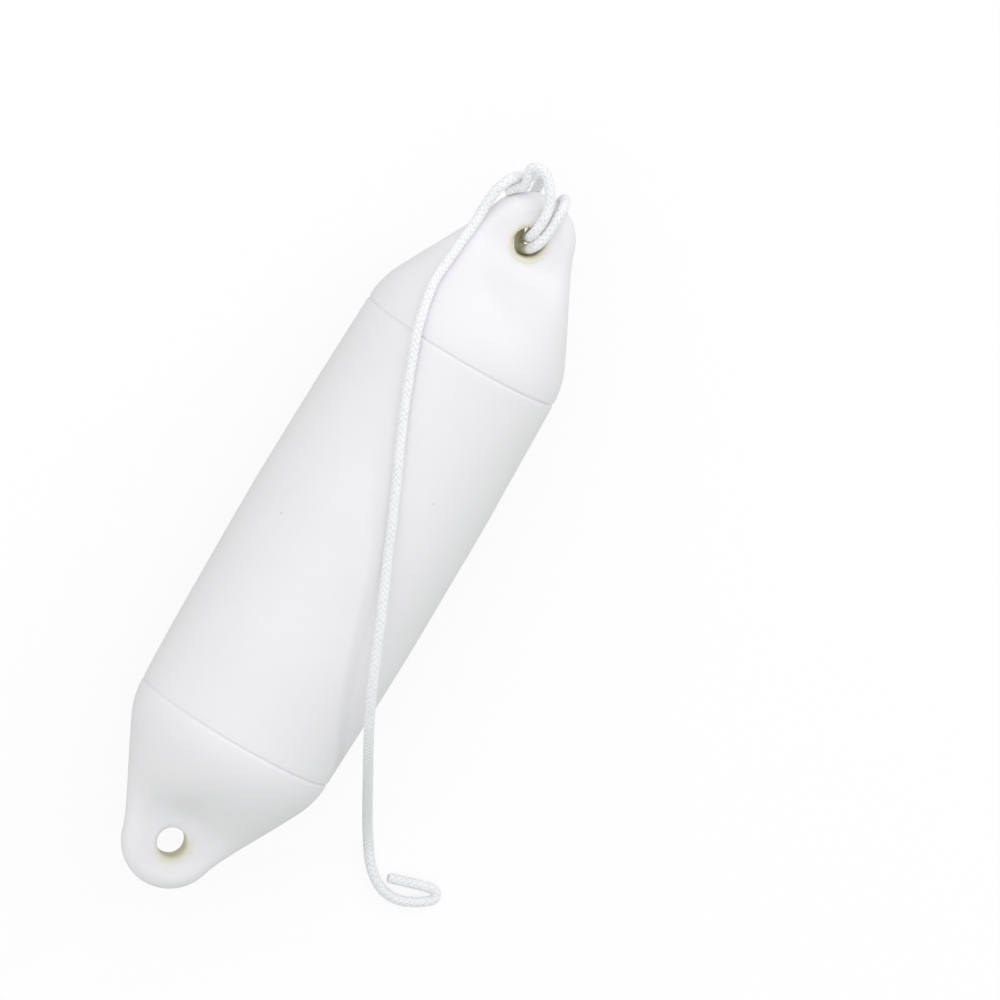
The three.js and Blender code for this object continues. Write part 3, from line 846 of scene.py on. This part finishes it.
# %% Build the three small finishes
def moulded_finish(name, dark, light, roughness, grain_depth):
    """A drifting tone, an uneven gloss and the fine rings that a turning tool leaves."""
    material, tree, shader = new_material(name)
    where = add(tree, "ShaderNodeTexCoord").outputs["Object"]
    drift = noise_of(tree, where, 180.0, 4.0)
    tree.links.new(drifting(tree, drift, 0.35, 0.65, dark, light), shader.inputs["Base Color"])
    gloss = stretched(tree, drift, 0.0, 1.0, roughness - 0.06, roughness + 0.06)
    tree.links.new(gloss, shader.inputs["Roughness"])
    ring_inputs = {"Vector": where, "Scale": 900.0, "Distortion": 0.6}
    rings = add(tree, "ShaderNodeTexWave", wave_type="RINGS", rings_direction="Z", inputs=ring_inputs)
    tree.links.new(roughened(tree, rings.outputs["Fac"], 0.25, grain_depth), shader.inputs["Normal"])
    return material


wear(bush, moulded_finish("bush_plastic", (0.74, 0.74, 0.72), (0.80, 0.80, 0.78), 0.38, 0.00002))
wear(screw, moulded_finish("screw_plastic", (0.66, 0.67, 0.69), (0.73, 0.74, 0.76), 0.34, 0.00002))
wear(seal, moulded_finish("seal_rubber", (0.012, 0.012, 0.013), (0.022, 0.022, 0.024), 0.75, 0.00004))
print("materials:", sorted(m.name for m in bpy.data.materials))

# %% [markdown]
# ## The floor
# The fender lies on a plain pale floor that is almost white to the camera, as for a catalogue, and still
# keeps the fender's faint shadow. A floor that is really that white would throw much light up at the
# fender's sides and flatten them. So to all other light it is a pale grey.

# %% Lay the floor
FLOOR_REACH, FLOOR_DROP = 9.0, 0.0002
FLOOR_GREY, FLOOR_SEEN, PLAIN_WHITE_SHARE = (0.68, 0.69, 0.67), (0.98, 0.98, 0.98), 0.84
floor_mesh = bpy.data.meshes.new("floor")
floor_corners = [(x * FLOOR_REACH, y * FLOOR_REACH, 0) for x, y in ((-1, -1), (1, -1), (1, 1), (-1, 1))]
floor_mesh.from_pydata(floor_corners, [], [(0, 1, 2, 3)])
floor = bpy.data.objects.new("floor", floor_mesh)
floor.location.z = -FLOOR_DROP
bpy.context.scene.collection.objects.link(floor)

paper, tree, shader = new_material("white_floor")
seen = add(tree, "ShaderNodeLightPath").outputs["Is Camera Ray"]
tree.links.new(blended(tree, seen, FLOOR_GREY, FLOOR_SEEN), shader.inputs["Base Color"])
shader.inputs["Roughness"].default_value = 0.9
shader.inputs["Specular IOR Level"].default_value = 0.0
white = add(tree, "ShaderNodeEmission", inputs={"Color": (1, 1, 1, 1), "Strength": 1.0})
plain_share = calculated(tree, "MULTIPLY", seen, PLAIN_WHITE_SHARE)
surfaces = {0: plain_share, 1: shader.outputs[0], 2: white.outputs[0]}
floor_look = add(tree, "ShaderNodeMixShader", inputs=surfaces)
tree.links.new(floor_look.outputs[0], tree.nodes["Material Output"].inputs["Surface"])
floor_mesh.materials.append(paper)
print("floor:", [round(v, 2) for v in floor.dimensions])

# %% [markdown]
# ## White surroundings
# Soft light comes from all round, which is why the picture has hardly any shade. Towards the lower right of
# the picture the surroundings are dimmer and a little greener, as in a room with a window on one side, so
# the fender's edge turns darker there. The camera sees plain white behind everything.

# %% Light it from all round
SURROUNDINGS, DIM_SURROUNDINGS = (0.865, 0.88, 0.87), (0.54, 0.58, 0.545)
DIM_SIDE = (-0.50, -0.87, 0.0)
world = bpy.data.worlds.new("white_surroundings")
bpy.context.scene.world = world
world.use_nodes = True
tree = world.node_tree
looking = add(tree, "ShaderNodeTexCoord").outputs["Generated"]
to_dim_side = add(tree, "ShaderNodeVectorMath", operation="DOT_PRODUCT", inputs={0: looking, 1: DIM_SIDE})
dim = stretched(tree, to_dim_side.outputs["Value"], 0.35, 0.95, 0.0, 1.0)
all_round = tree.nodes["Background"]
tree.links.new(blended(tree, dim, SURROUNDINGS, DIM_SURROUNDINGS), all_round.inputs["Color"])
all_round.inputs["Strength"].default_value = 1.0
backdrop = add(tree, "ShaderNodeBackground", inputs={"Color": (1, 1, 1, 1), "Strength": 1.0})
ray = add(tree, "ShaderNodeLightPath")
seen = calculated(tree, "MAXIMUM", ray.outputs["Is Camera Ray"], ray.outputs["Is Transmission Ray"])
views = {0: seen, 1: all_round.outputs[0], 2: backdrop.outputs[0]}
surroundings = add(tree, "ShaderNodeMixShader", inputs=views)
tree.links.new(surroundings.outputs[0], tree.nodes["World Output"].inputs["Surface"])
print("world:", len(tree.nodes), "nodes")

# %% [markdown]
# ## Three lamps
# A wide lamp by the camera lifts the faces that look up. A second wide one over the roped end makes that
# end's cap the brightest part. A small one beyond the roped end and to the right is the only one that draws
# edges: it gives the rope its soft shadow on the barrel and makes the grooves show.

# %% Hang the lamps
LAMP_DISTANCE = 3.0


def lamp(name, direction, size, watts, colour):
    """A square soft lamp that looks at the fender from a direction."""
    light = bpy.data.lights.new(name, "AREA")
    light.shape = "SQUARE"
    light.size = size
    light.energy = watts
    light.color = colour
    holder = bpy.data.objects.new(name, light)
    direction = direction.normalized()
    holder.location = Vector((0, 0, AXIS_HEIGHT)) + direction * LAMP_DISTANCE
    holder.rotation_mode = "QUATERNION"
    holder.rotation_quaternion = direction.to_track_quat("Z", "Y")
    bpy.context.scene.collection.objects.link(holder)
    return holder


by_camera = to_camera + fender_across * 0.35
over_roped_end = to_camera + fender_along * 1.3 + fender_across * 0.1
beyond_on_the_right = to_camera + fender_along * 1.6 - fender_across * 1.05
lamps = (
    lamp("front_lamp", by_camera, 2.2, 8.6, (1.0, 0.96, 0.98)),
    lamp("roped_end_lamp", over_roped_end, 2.0, 11.8, (0.98, 0.92, 1.0)),
    lamp("key_lamp", beyond_on_the_right, 0.28, 8.6, (1.0, 0.98, 0.98)),
)
bpy.context.scene.view_settings.view_transform = "Standard"
print("lamps, in watts:", {holder.name: holder.data.energy for holder in lamps})
